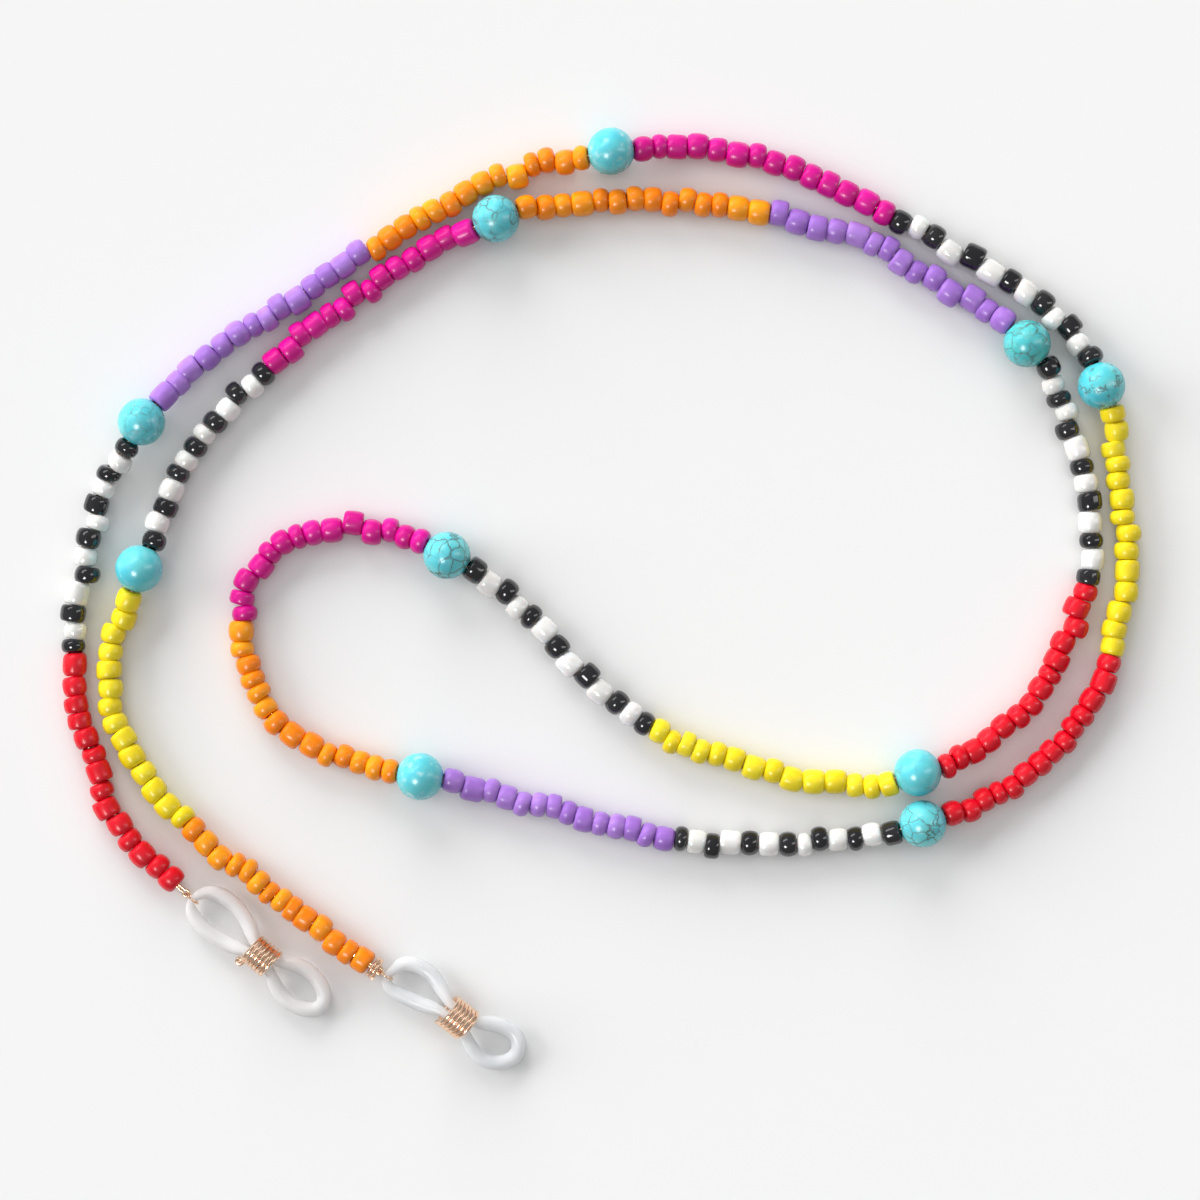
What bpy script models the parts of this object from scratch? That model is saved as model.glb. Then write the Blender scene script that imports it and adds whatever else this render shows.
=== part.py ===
"""Eyeglass retainer strap: glass seed beads and turquoise stones strung on one wire.

Each end has a crimp, a jump ring, a silicone loop for one temple arm and a coil slider
that tightens the loop. The strap lies in a double spiral on the plane z = 0.
Metres, +Z up. The origin is at the middle of the strap's footprint.
"""

import math
import random

import bmesh
import bpy
import numpy as np
from mathutils import Matrix, Vector

MM = 0.001

# Driving dimensions
SEED_RADIUS = 1.52 * MM
NECK_RADIUS = 1.15 * MM
SEED_BORE_RADIUS = 0.68 * MM
STONE_RADIUS = 2.95 * MM
STONE_BORE_RADIUS = 0.60 * MM
STONE_SEAT = 2.82 * MM
WIRE_RADIUS = 0.17 * MM
TOUCH_GAP = 0.30 * MM
RISE_LENGTH = 9.0 * MM
CRIMP_RADIUS = 0.55 * MM
CRIMP_BORE_RADIUS = 0.43 * MM
CRIMP_LENGTH = 1.5 * MM
CRIMP_INSET = 0.9 * MM
RING_RADIUS = 0.94 * MM
RING_WIRE_RADIUS = 0.16 * MM
EYE_RADIUS = 0.39 * MM
EYE_REACH = 1.45 * MM
APEX_REACH = 2.58 * MM
SILICONE_RADIUS = 0.95 * MM
COIL_RADIUS = 1.81 * MM
COIL_WIRE_RADIUS = 0.26 * MM
COIL_PITCH = 0.60 * MM
COIL_TURNS = 5.6
COLLAR_RADIUS = 1.28 * MM
COLLAR_WIRE_RADIUS = 0.20 * MM
COLLAR_PITCH = 0.44 * MM
COLLAR_TURNS = 2.0
COLLAR_START = 0.34 * MM

# The wire's tail past the crimp, the play between the two wires inside it, and where they part
TAIL_END = 0.30 * MM
WIRE_PLAY = 0.02 * MM
PARTING_REACH = 0.30

# The shortest and longest share of its run that a bead of each kind takes
BEAD_SHARES = {"plain": (0.66, 1.34), "black": (0.72, 1.04), "white": (0.84, 1.34)}

# How far a poly wire or bore may stray from the smooth thread
STRAY = 0.15 * MM
SAMPLE_STEP = 0.25 * MM
BEAD_SEED = 7

# The footprint's middle in the route's own coordinates
MIDDLE = Vector((-0.024, -0.004)) * MM

# The thread's route from end A to end B, in millimetres. Each stretch starts at a turquoise
# stone, apart from the first, which starts at the last bead of end A.
ROUTE = [
    [(-52.8, -35.7), (-59.4, -28.8), (-64.0, -18.5), (-65.7, -7.0), (-64.3, 4.5), (-61.5, 14.5)],
    [(-57.2, 22.1), (-44.5, 33.5), (-30.0, 43.0), (-15.5, 51.5)],
    [(1.4, 55.9), (19.0, 55.5), (35.5, 48.5), (50.5, 40.0), (57.2, 35.0)],
    [(62.4, 26.8), (65.5, 10.5), (64.0, -6.5), (55.0, -20.5)],
    [(40.1, -27.9), (26.0, -30.2), (10.0, -29.8), (-3.0, -26.8)],
    [(-22.4, -22.0), (-33.0, -19.5), (-42.0, -13.0), (-45.0, -2.5), (-40.0, 7.0), (-29.5, 9.0)],
    [(-19.0, 5.5), (-8.0, -3.0), (3.5, -14.0), (18.0, -20.6), (31.5, -23.0)],
    [(39.6, -21.5), (51.0, -15.5), (58.5, -5.0), (61.5, 7.5), (59.0, 20.5)],
    [(53.2, 31.9), (46.0, 37.4), (34.5, 44.2), (20.5, 48.4), (4.5, 50.0)],
    [(-13.0, 47.5), (-27.5, 40.0), (-40.0, 30.5), (-51.0, 18.5)],
    [(-57.4, 4.0), (-61.2, -13.0), (-54.0, -25.5), (-42.0, -36.0), (-28.8, -45.6)],
]

# Each stretch's two bead runs, and the share of the stretch that the first one takes
STRETCH_RUNS = [
    ("red", "striped", 0.544),
    ("purple", "orange", 0.520),
    ("magenta", "striped", 0.520),
    ("yellow", "red", 0.508),
    ("striped", "purple", 0.487),
    ("orange", "magenta", 0.501),
    ("striped", "yellow", 0.492),
    ("red", "striped", 0.514),
    ("purple", "orange", 0.514),
    ("magenta", "striped", 0.533),
    ("yellow", "orange", 0.532),
]
STRIPED_RUN = ["black", "white"] * 6 + ["black"]
PLAIN_RUN = ["plain"] * 14

# Each end: the angle of its link in degrees, the angle of its loop and the angle of its coil
END_ANGLES = {"a": (-42.0, -39.4, -39.4), "b": (-33.0, -29.6, -40.0)}

# A silicone loop as (along, across, height, radius) in millimetres from its apex. It runs
# from the apex along one side, through the coil, round the tip and back along the other.
LOOPS = {
    "a": [
        (0.00, 0.00, 1.52, 0.50), (0.25, 0.98, 1.38, 0.64), (1.20, 2.08, 1.10, 0.86),
        (3.00, 2.66, 0.99, 0.97), (5.00, 2.62, 0.99, 0.97), (7.00, 2.05, 1.10, 0.97),
        (8.60, 1.22, 1.60, 0.82), (9.60, 0.72, 2.00, 0.60), (11.1, 0.67, 2.10, 0.57),
        (12.8, 0.72, 2.00, 0.62), (14.1, 1.30, 1.55, 0.80), (15.8, 2.00, 1.10, 0.96),
        (17.6, 2.18, 0.99, 0.96), (19.4, 1.66, 0.99, 0.96), (20.5, 0.85, 0.99, 0.96),
        (20.8, 0.00, 0.99, 0.96), (20.5, -0.95, 0.99, 0.96), (19.4, -1.85, 0.99, 0.96),
        (17.5, -2.38, 0.99, 0.96), (15.7, -2.20, 1.10, 0.96), (14.1, -1.40, 1.55, 0.80),
        (12.8, -0.74, 2.00, 0.62), (11.1, -0.67, 2.10, 0.57), (9.50, -0.72, 2.00, 0.60),
        (8.30, -1.10, 1.60, 0.84), (6.80, -1.60, 1.10, 0.97), (4.80, -1.98, 0.99, 0.97),
        (3.00, -1.98, 0.99, 0.97), (1.40, -1.62, 1.10, 0.86), (0.35, -0.90, 1.38, 0.64),
    ],
    "b": [
        (0.00, 0.00, 1.52, 0.50), (0.30, 0.95, 1.38, 0.64), (0.85, 2.05, 1.10, 0.84),
        (1.95, 2.76, 0.99, 0.94), (3.40, 2.98, 0.99, 0.95), (4.90, 2.82, 0.99, 0.95),
        (6.20, 2.22, 1.10, 0.93), (7.30, 1.60, 1.60, 0.80), (8.50, 0.98, 2.00, 0.60),
        (10.22, 0.63, 2.10, 0.57), (11.8, 0.40, 2.00, 0.60), (13.0, 0.66, 1.55, 0.80),
        (14.6, 1.30, 1.10, 0.95), (16.3, 1.66, 0.99, 0.96), (17.8, 1.35, 0.99, 0.96),
        (18.7, 0.35, 0.99, 0.96), (18.8, -0.90, 0.99, 0.96), (18.0, -2.15, 0.99, 0.96),
        (16.6, -3.00, 0.99, 0.96), (15.0, -3.12, 1.05, 0.96), (13.5, -2.52, 1.25, 0.90),
        (12.4, -1.75, 1.65, 0.76), (11.4, -1.06, 2.00, 0.60), (9.98, -0.71, 2.10, 0.57),
        (8.20, -0.45, 2.00, 0.60), (6.80, -0.62, 1.60, 0.82), (5.20, -0.98, 1.10, 0.95),
        (3.20, -1.22, 0.99, 0.95), (1.60, -1.30, 1.10, 0.84), (0.45, -0.85, 1.38, 0.64),
    ],
}
COIL_CENTRES = {"a": (11.1, 0.0, 2.10), "b": (10.1, -0.04, 2.10)}

COLOURS = {
    "red": (0.75, 0.010, 0.022),
    "magenta": (0.68, 0.003, 0.24),
    "orange": (0.91, 0.26, 0.006),
    "yellow": (0.87, 0.72, 0.013),
    "purple": (0.35, 0.13, 0.64),
    "striped": (0.30, 0.30, 0.31),
    "turquoise": (0.09, 0.55, 0.64),
    "silicone": (0.80, 0.79, 0.77),
    "rose_gold": (0.79, 0.46, 0.26),
    "steel_wire": (0.55, 0.50, 0.42),
}


def clear_scene():
    """Remove what the file opened with."""
    for item in list(bpy.data.objects):
        bpy.data.objects.remove(item, do_unlink=True)


def make_collection(name):
    group = bpy.data.collections.new(name)
    bpy.context.scene.collection.children.link(group)
    return group


def make_material(name, roughness, metallic=0.0):
    """A Principled material in the colour of that name."""
    material = bpy.data.materials.new(name)
    material.use_nodes = True
    shader = material.node_tree.nodes["Principled BSDF"]
    shader.inputs["Base Color"].default_value = (*COLOURS[name], 1.0)
    shader.inputs["Roughness"].default_value = roughness
    shader.inputs["Metallic"].default_value = metallic
    return material


def smooth_path(points, closed=False, step=SAMPLE_STEP):
    """A cubic spline through the points, read at even steps along its length."""
    points = np.array(points, float)
    if closed:
        wrap = min(6, len(points))
        points = np.vstack([points[-wrap:], points, points[: wrap + 1]])
    spans = np.linalg.norm(np.diff(points[:, :3], axis=0), axis=1)
    knots = np.concatenate([[0.0], np.cumsum(spans)])
    count = len(knots)
    system = np.eye(count)
    wanted = np.zeros_like(points)
    for i in range(1, count - 1):
        before, after = spans[i - 1], spans[i]
        system[i, i - 1 : i + 2] = (before, 2 * (before + after), after)
        rise = (points[i + 1] - points[i]) / after - (points[i] - points[i - 1]) / before
        wanted[i] = 6 * rise
    bends = np.linalg.solve(system, wanted)
    first, last = (wrap, count - 1 - wrap) if closed else (0, count - 1)
    samples = int((knots[last] - knots[first]) / step) + 1
    at = np.linspace(knots[first], knots[last], samples)
    i = np.clip(np.searchsorted(knots, at, side="right") - 1, 0, count - 2)
    span = spans[i][:, None]
    left = (knots[i + 1] - at)[:, None]
    right = (at - knots[i])[:, None]
    path = (bends[i] * left**3 + bends[i + 1] * right**3) / (6 * span)
    path += (points[i] / span - bends[i] * span / 6) * left
    path += (points[i + 1] / span - bends[i + 1] * span / 6) * right
    return path[:-1] if closed else path


class Thread:
    """The strap's thread: a place and a direction at any distance from end A."""

    def __init__(self):
        flat = [Vector(p) * MM - MIDDLE for stretch in ROUTE for p in stretch]
        self.path = smooth_path([(p.x, p.y) for p in flat])
        lengths = np.linalg.norm(np.diff(self.path, axis=0), axis=1)
        self.along = np.concatenate([[0.0], np.cumsum(lengths)])
        self.length = float(self.along[-1])
        starts = [Vector(stretch[0]) * MM - MIDDLE for stretch in ROUTE[1:]]
        self.stones = [self.nearest(p) for p in starts]

    def nearest(self, point):
        gaps = np.linalg.norm(self.path - np.array(point), axis=1)
        return float(self.along[int(gaps.argmin())])

    def height(self, distance):
        """Seeds lie on the plane, and the thread climbs to each stone's middle."""
        gap = min(abs(distance - stone) for stone in self.stones)
        share = 0.5 + 0.5 * math.cos(math.pi * min(gap / RISE_LENGTH, 1.0))
        return SEED_RADIUS + (STONE_RADIUS - SEED_RADIUS) * share

    def at(self, distance):
        """The thread's point. Past its ends it goes straight on."""
        inside = min(max(distance, 0.0), self.length)
        x = float(np.interp(inside, self.along, self.path[:, 0]))
        y = float(np.interp(inside, self.along, self.path[:, 1]))
        point = Vector((x, y, self.height(inside)))
        if inside != distance:
            point += self.direction(inside) * (distance - inside)
        return point

    def direction(self, distance):
        low = max(distance - SAMPLE_STEP, 0.0)
        high = min(distance + SAMPLE_STEP, self.length)
        return (self.at(high) - self.at(low)).normalized()

    def sparse(self, start, end):
        """The fewest points between two distances that keep within STRAY of the thread."""
        count = int((end - start) / SAMPLE_STEP) + 2
        places = np.linspace(start, end, count)
        points = np.array([self.at(float(place)) for place in places])
        kept = [0]
        for i in range(1, count):
            first = points[kept[-1]]
            chord = points[i] - first
            chord /= np.linalg.norm(chord)
            offsets = points[kept[-1] : i + 1] - first
            strays = np.linalg.norm(offsets - np.outer(offsets @ chord, chord), axis=1)
            if strays.max() > STRAY:
                kept.append(i - 1)
        return [Vector(points[i]) for i in [*kept, count - 1]]


def make_tube(name, points, radius, radii=None, closed=False, resolution=1):
    """A round tube along the points, as a curve object."""
    curve = bpy.data.curves.new(name, "CURVE")
    curve.dimensions = "3D"
    curve.twist_mode = "Z_UP"
    curve.bevel_depth = radius
    curve.bevel_resolution = resolution
    curve.use_fill_caps = not closed
    spline = curve.splines.new("POLY")
    spline.points.add(len(points) - 1)
    spline.use_cyclic_u = closed
    spline.use_smooth = True
    for i, point in enumerate(points):
        spline.points[i].co = (*point[:3], 1.0)
        spline.points[i].radius = radii[i] / radius if radii is not None else 1.0
    tube = bpy.data.objects.new(name, curve)
    bpy.context.scene.collection.objects.link(tube)
    return tube


def as_mesh(tube):
    """The tube as a mesh object of the same name, with its caps welded on."""
    bpy.context.view_layer.update()
    evaluated = tube.evaluated_get(bpy.context.evaluated_depsgraph_get())
    mesh = bpy.data.meshes.new_from_object(evaluated)
    shape = bmesh.new()
    shape.from_mesh(mesh)
    bmesh.ops.remove_doubles(shape, verts=shape.verts, dist=0.000001)
    bmesh.ops.recalc_face_normals(shape, faces=shape.faces)
    shape.to_mesh(mesh)
    shape.free()
    place = tube.matrix_world.copy()
    name = tube.name
    bpy.data.objects.remove(tube, do_unlink=True)
    solid = bpy.data.objects.new(name, mesh)
    solid.matrix_world = place
    bpy.context.scene.collection.objects.link(solid)
    return solid


def finish(item, material, group, origin=None):
    """Give a piece its material, its collection and, where it moves, its joint's origin."""
    item.data.materials.clear()
    item.data.materials.append(material)
    for old in list(item.users_collection):
        old.objects.unlink(item)
    group.objects.link(item)
    if item.type == "MESH":
        item.data.shade_smooth()
        item.data.set_sharp_from_angle(angle=math.radians(50))
    if origin is not None:
        move_origin(item, origin)
    return item


def move_origin(item, origin):
    """Put the item's origin on its joint, leaving its shape where it is."""
    shift = Matrix.Translation(-origin)
    if item.type == "MESH":
        item.data.transform(shift @ item.matrix_world)
        item.matrix_world = Matrix.Translation(origin)
        return
    for spline in item.data.splines:
        for point in spline.points:
            point.co = (*(Vector(point.co[:3]) - origin), 1.0)
    item.location = origin


def cut(item, cutter, cutters):
    """Cut one solid out of another."""
    for old in list(cutter.users_collection):
        old.objects.unlink(cutter)
    cutters.objects.link(cutter)
    cutter.hide_render = True
    cutter.display_type = "WIRE"
    modifier = item.modifiers.new("bore", "BOOLEAN")
    modifier.operation = "DIFFERENCE"
    modifier.object = cutter


def share_out(dice, kinds, start, end):
    """The edges of beads of uneven length that fill a run from start to end."""
    shares = [dice.uniform(*BEAD_SHARES[kind]) for kind in kinds]
    marks = [start]
    for share in shares:
        marks.append(marks[-1] + share / sum(shares) * (end - start))
    return marks


def bead_lengths(thread):
    """The runs in order, as (colour, bead edges along the thread)."""
    dice = random.Random(BEAD_SEED)
    edges = [0.0, *thread.stones, thread.length]
    runs = []
    for number, (first, second, share) in enumerate(STRETCH_RUNS):
        start = edges[number] + (STONE_SEAT if number > 0 else 0.0)
        end = edges[number + 1] - (STONE_SEAT if number < len(STRETCH_RUNS) - 1 else 0.0)
        middle = start + share * (end - start)
        for colour, left, right in ((first, start, middle), (second, middle, end)):
            kinds = STRIPED_RUN if colour == "striped" else PLAIN_RUN
            runs.append((colour, share_out(dice, kinds, left, right)))
    return runs


def make_run(name, thread, marks, material, group, cutters, origin=None):
    """Beads joined at their necks, with one bore from end to end."""
    start = marks[0] + TOUCH_GAP / 2
    end = marks[-1] - TOUCH_GAP / 2
    places, radii = [start], [NECK_RADIUS]
    for left, right in zip(marks, marks[1:]):
        places += [(left + right) / 2, right]
        radii += [SEED_RADIUS, NECK_RADIUS]
    places[-1] = end
    outer = as_mesh(make_tube(name, [thread.at(p) for p in places], SEED_RADIUS, radii))
    reach = thread.sparse(start, end)
    before = reach[0] - thread.direction(start) * MM
    after = reach[-1] + thread.direction(end) * MM
    bore = make_tube(name + "_bore", [before, *reach, after], SEED_BORE_RADIUS, resolution=2)
    cut(outer, as_mesh(bore), cutters)
    return finish(outer, material, group, origin)


def make_stone(name, thread, distance, material, group, cutters):
    """A round stone, drilled along the thread, that turns on it."""
    place, way = thread.at(distance), thread.direction(distance)
    turn = way.to_track_quat("Z", "Y")
    bpy.ops.mesh.primitive_uv_sphere_add(segments=12, ring_count=8, radius=STONE_RADIUS)
    stone = bpy.context.object
    stone.name = name
    bpy.ops.mesh.primitive_cylinder_add(
        vertices=8, radius=STONE_BORE_RADIUS, depth=3 * STONE_RADIUS
    )
    drill = bpy.context.object
    drill.name = name + "_bore"
    for item in (stone, drill):
        item.rotation_mode = "QUATERNION"
        item.rotation_quaternion = turn
        item.location = place
    cut(stone, drill, cutters)
    return finish(stone, material, group)


class End:
    """One end of the strap: its last bead, the way its link points, and its loop's axes."""

    def __init__(self, letter, thread):
        self.letter = letter
        self.at_start = letter == "a"
        distance = 0.0 if self.at_start else thread.length
        self.bead = thread.at(distance)
        self.outward = thread.direction(distance) * (-1.0 if self.at_start else 1.0)
        link, loop, coil = (math.radians(angle) for angle in END_ANGLES[letter])
        self.link = Vector((math.cos(link), math.sin(link), 0.0))
        self.link_side = Vector((-math.sin(link), math.cos(link), 0.0))
        self.loop = Vector((math.cos(loop), math.sin(loop), 0.0))
        self.loop_side = Vector((-math.sin(loop), math.cos(loop), 0.0))
        self.coil = Vector((math.cos(coil), math.sin(coil), 0.0))
        self.eye = self.bead + self.link * EYE_REACH
        self.apex = self.bead + self.link * APEX_REACH
        middle = COIL_CENTRES[letter]
        self.coil_middle = self.on_loop(*middle)

    def on_loop(self, along, across, height):
        """A place given in millimetres along and across the loop, and above the plane."""
        flat = self.apex + (self.loop * along + self.loop_side * across) * MM
        return Vector((flat.x, flat.y, height * MM))

    def on_link(self, along, across):
        return self.bead + (self.link * along + self.link_side * across) * MM


def end_wire_points(thread, end, inner):
    """The thread from its flex point out to the eye, round it and back into the crimp."""
    tail = CRIMP_INSET + CRIMP_LENGTH + TAIL_END
    if end.at_start:
        points = [Vector(p) for p in reversed(thread.sparse(tail * 1.5, inner))]
    else:
        points = [Vector(p) for p in thread.sparse(inner, thread.length - tail * 1.5)]
    side = end.link_side * (WIRE_RADIUS + WIRE_PLAY)
    for reach in (tail, CRIMP_INSET):
        points.append(end.bead - end.outward * reach + side)
    points.append(end.on_link(PARTING_REACH, 0.0) + side)
    for degrees in range(-150, 151, 30):
        angle = math.radians(degrees)
        swing = end.link * math.cos(angle) - end.link_side * math.sin(angle)
        points.append(end.eye + swing * EYE_RADIUS)
    points.append(end.on_link(PARTING_REACH, 0.0) - side)
    for reach in (CRIMP_INSET, tail):
        points.append(end.bead - end.outward * reach - side)
    return points


def make_crimp(name, end, material, group, cutters, origin):
    """The tube that grips the wire and its tail inside the last beads."""
    middle = end.bead - end.outward * (CRIMP_INSET + CRIMP_LENGTH / 2)
    turn = end.outward.to_track_quat("Z", "Y")
    made = []
    for radius, length in ((CRIMP_RADIUS, CRIMP_LENGTH), (CRIMP_BORE_RADIUS, 2 * CRIMP_LENGTH)):
        bpy.ops.mesh.primitive_cylinder_add(vertices=12, radius=radius, depth=length)
        item = bpy.context.object
        item.rotation_mode = "QUATERNION"
        item.rotation_quaternion = turn
        item.location = middle
        made.append(item)
    bpy.context.view_layer.update()
    made[0].name = name
    made[1].name = name + "_bore"
    cut(made[0], made[1], cutters)
    return finish(made[0], material, group, origin)


def make_ring(name, end, material, group):
    """The jump ring, which stands on edge in line with its link."""
    bpy.ops.mesh.primitive_torus_add(
        major_segments=16,
        minor_segments=6,
        major_radius=RING_RADIUS,
        minor_radius=RING_WIRE_RADIUS,
    )
    ring = bpy.context.object
    ring.name = name
    across = end.link_side
    turn = Matrix((end.link, Vector((0, 0, 1)), across)).transposed().to_4x4()
    if turn.determinant() < 0:
        turn = Matrix((end.link, Vector((0, 0, 1)), -across)).transposed().to_4x4()
    ring.matrix_world = Matrix.Translation(end.eye + end.link * RING_RADIUS) @ turn
    bpy.context.view_layer.update()
    return finish(ring, material, group, end.eye)


def make_coil(name, middle, axis, radius, wire, pitch, turns, material, group, origin):
    """A close-wound coil of round wire about a level axis."""
    side = Vector((-axis.y, axis.x, 0.0))
    up = Vector((0.0, 0.0, 1.0))
    steps_a_turn = 10
    steps = int(turns * steps_a_turn)
    points = []
    for i in range(steps + 1):
        angle = 2 * math.pi * i / steps_a_turn
        along = (i / steps_a_turn - turns / 2) * pitch
        swing = side * math.cos(angle) + up * math.sin(angle)
        points.append(middle + axis * along + swing * radius)
    coil = make_tube(name, points, wire)
    coil.data.twist_mode = "MINIMUM"
    return finish(coil, material, group, origin)


def make_loop(name, end, material, group):
    """The silicone loop, pinched where it passes through the ring and the coil."""
    rows = [(*end.on_loop(*row[:3]), row[3] * MM) for row in LOOPS[end.letter]]
    path = smooth_path(rows, closed=True, step=1.4 * MM)
    points = [Vector(row[:3]) for row in path]
    loop = make_tube(name, points, SILICONE_RADIUS, path[:, 3], closed=True, resolution=2)
    return finish(loop, material, group, end.apex)


def build():
    clear_scene()
    parts = make_collection("eyeglass_retainer_strap")
    cutters = make_collection("cutters")
    materials = {name: make_material(name, 0.35) for name in COLOURS}
    for name in ("rose_gold", "steel_wire"):
        materials[name] = make_material(name, 0.2, 1.0)

    thread = Thread()
    runs = bead_lengths(thread)
    counts = {}
    first_flex = runs[0][1][-1]
    last_flex = runs[-1][1][0]
    for number, (colour, marks) in enumerate(runs):
        counts[colour] = counts.get(colour, 0) + 1
        name = f"{colour}_beads_{counts[colour]}"
        origin = None
        if number == 0:
            origin = thread.at(first_flex)
        elif number == len(runs) - 1:
            origin = thread.at(last_flex)
        make_run(name, thread, marks, materials[colour], parts, cutters, origin)
    for number, distance in enumerate(thread.stones, 1):
        name = f"turquoise_stone_{number:02d}"
        make_stone(name, thread, distance, materials["turquoise"], parts, cutters)

    half_gap = TOUCH_GAP / 2
    middle = thread.sparse(first_flex + half_gap, last_flex - half_gap)
    wire = make_tube("stringing_wire", middle, WIRE_RADIUS)
    finish(wire, materials["steel_wire"], parts)

    for letter, flex in (("a", first_flex), ("b", last_flex)):
        end = End(letter, thread)
        hinge = thread.at(flex)
        inner = flex - half_gap if letter == "a" else flex + half_gap
        points = end_wire_points(thread, end, inner)
        wire = make_tube(f"stringing_wire_end_{letter}", points, WIRE_RADIUS)
        finish(wire, materials["steel_wire"], parts, hinge)
        make_crimp(f"crimp_{letter}", end, materials["rose_gold"], parts, cutters, hinge)
        make_ring(f"jump_ring_{letter}", end, materials["rose_gold"], parts)
        make_loop(f"silicone_loop_{letter}", end, materials["silicone"], parts)
        coil = (COIL_RADIUS, COIL_WIRE_RADIUS, COIL_PITCH, COIL_TURNS)
        place = (end.coil_middle, end.coil, *coil)
        make_coil(
            f"coil_slider_{letter}", *place, materials["rose_gold"], parts, end.coil_middle
        )
        if letter == "b":
            half = COLLAR_PITCH * COLLAR_TURNS / 2
            collar = end.bead + end.link * (COLLAR_START + half)
            size = (COLLAR_RADIUS, COLLAR_WIRE_RADIUS, COLLAR_PITCH, COLLAR_TURNS)
            make_coil(
                "wire_collar_b", collar, end.link, *size, materials["rose_gold"], parts, hinge
            )


build()
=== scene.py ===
"""A beaded eyeglass retainer strap, laid out in a double spiral on a pale table."""

import math
import random

import bmesh
import bpy
import numpy as np
from mathutils import Matrix, Quaternion, Vector


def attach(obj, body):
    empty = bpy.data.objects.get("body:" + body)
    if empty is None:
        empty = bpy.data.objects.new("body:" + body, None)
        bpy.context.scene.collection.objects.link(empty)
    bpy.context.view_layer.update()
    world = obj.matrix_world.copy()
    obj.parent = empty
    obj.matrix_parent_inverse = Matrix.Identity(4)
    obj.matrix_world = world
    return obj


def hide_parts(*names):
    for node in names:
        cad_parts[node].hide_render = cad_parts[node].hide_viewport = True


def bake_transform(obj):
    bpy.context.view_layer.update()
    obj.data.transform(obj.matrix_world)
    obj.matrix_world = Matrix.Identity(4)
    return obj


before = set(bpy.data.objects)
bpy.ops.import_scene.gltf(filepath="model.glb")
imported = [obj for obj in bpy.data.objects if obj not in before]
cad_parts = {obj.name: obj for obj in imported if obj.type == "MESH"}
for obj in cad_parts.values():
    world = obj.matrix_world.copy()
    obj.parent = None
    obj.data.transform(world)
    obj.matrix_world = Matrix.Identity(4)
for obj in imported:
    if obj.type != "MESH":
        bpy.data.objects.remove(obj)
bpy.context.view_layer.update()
bpy.ops.object.select_all(action="DESELECT")

MM = 0.001

# ---------------------------------------------------------------------------------------------
# The camera stands straight above the strap, on a long lens, and takes in 150 mm of the table.
# The width holds at the height of the beads' middles, so that the beads keep their true spacing.

VIEW_WIDTH = 150 * MM
LENS, SENSOR = 100.0, 36.0
BEAD_LEVEL = 1.5 * MM

bpy.ops.object.camera_add(location=(0, 0, VIEW_WIDTH * LENS / SENSOR + BEAD_LEVEL))
camera = bpy.context.object
camera.data.lens = LENS
camera.data.sensor_width = SENSOR
camera.data.clip_start = 0.01
camera.data.clip_end = 20
bpy.context.scene.camera = camera
bpy.context.scene.view_settings.view_transform = "Standard"

# ---------------------------------------------------------------------------------------------
# A matt white table in a room lit from overhead. Two broad lamps, from the left and from the top,
# throw the soft shadows. Softboxes that only polished surfaces see make the beads' highlights.

TABLE_SIZE = 4.0
TABLE_WHITE = 0.80
ROOM_LIGHT, ROOM_SHEEN, ROOM_BACK = 0.83, 0.30, 0.92
KEY_TILT, KEY_SPREAD, KEY_STRENGTH = 74.5, 44.0, 3.3
KEY_BEARINGS = [165.0, 105.0]

bpy.ops.mesh.primitive_plane_add(size=TABLE_SIZE, location=(0, 0, -0.02 * MM))
table = bpy.context.object
table.name = "table"
table_paint = bpy.data.materials.new("matt_white_table")
table_paint.use_nodes = True
table_shader = table_paint.node_tree.nodes["Principled BSDF"]
table_shader.inputs["Base Color"].default_value = (TABLE_WHITE, TABLE_WHITE, TABLE_WHITE, 1)
table_shader.inputs["Roughness"].default_value = 1.0
table_shader.inputs["Specular IOR Level"].default_value = 0.0
table.data.materials.append(table_paint)

# The room's light comes mostly from overhead. It looks even and dimmer in polished surfaces, as
# between a studio's black flags, and even and pale behind the table.
room = bpy.data.worlds.new("overhead_room")
room.use_nodes = True
room_tree = room.node_tree
room_tree.nodes["Background"].inputs["Color"].default_value = (1.0, 1.0, 1.0, 1)
outward = room_tree.nodes.new("ShaderNodeTexCoord")
split = room_tree.nodes.new("ShaderNodeSeparateXYZ")
ray = room_tree.nodes.new("ShaderNodeLightPath")
overhead, sheen, backdrop = (room_tree.nodes.new("ShaderNodeMapRange") for _ in range(3))
overhead.interpolation_type = "SMOOTHSTEP"
for level, brightness in ((overhead, ROOM_LIGHT), (sheen, ROOM_SHEEN), (backdrop, ROOM_BACK)):
    level.inputs["To Max"].default_value = brightness
room_tree.links.new(outward.outputs["Generated"], split.inputs["Vector"])
room_tree.links.new(split.outputs["Z"], overhead.inputs["Value"])
room_tree.links.new(overhead.outputs["Result"], sheen.inputs["To Min"])
room_tree.links.new(ray.outputs["Is Glossy Ray"], sheen.inputs["Value"])
room_tree.links.new(sheen.outputs["Result"], backdrop.inputs["To Min"])
room_tree.links.new(ray.outputs["Is Camera Ray"], backdrop.inputs["Value"])
room_tree.links.new(backdrop.outputs["Result"], room_tree.nodes["Background"].inputs["Strength"])
bpy.context.scene.world = room

for bearing in KEY_BEARINGS:
    bpy.ops.object.light_add(type="SUN")
    key_lamp = bpy.context.object
    key_lamp.data.angle = math.radians(KEY_SPREAD)
    key_lamp.data.energy = KEY_STRENGTH
    key_lamp.visible_glossy = False
    key_lamp.visible_transmission = False
    key_lamp.rotation_euler = (0, math.radians(KEY_TILT), math.radians(bearing))

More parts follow.
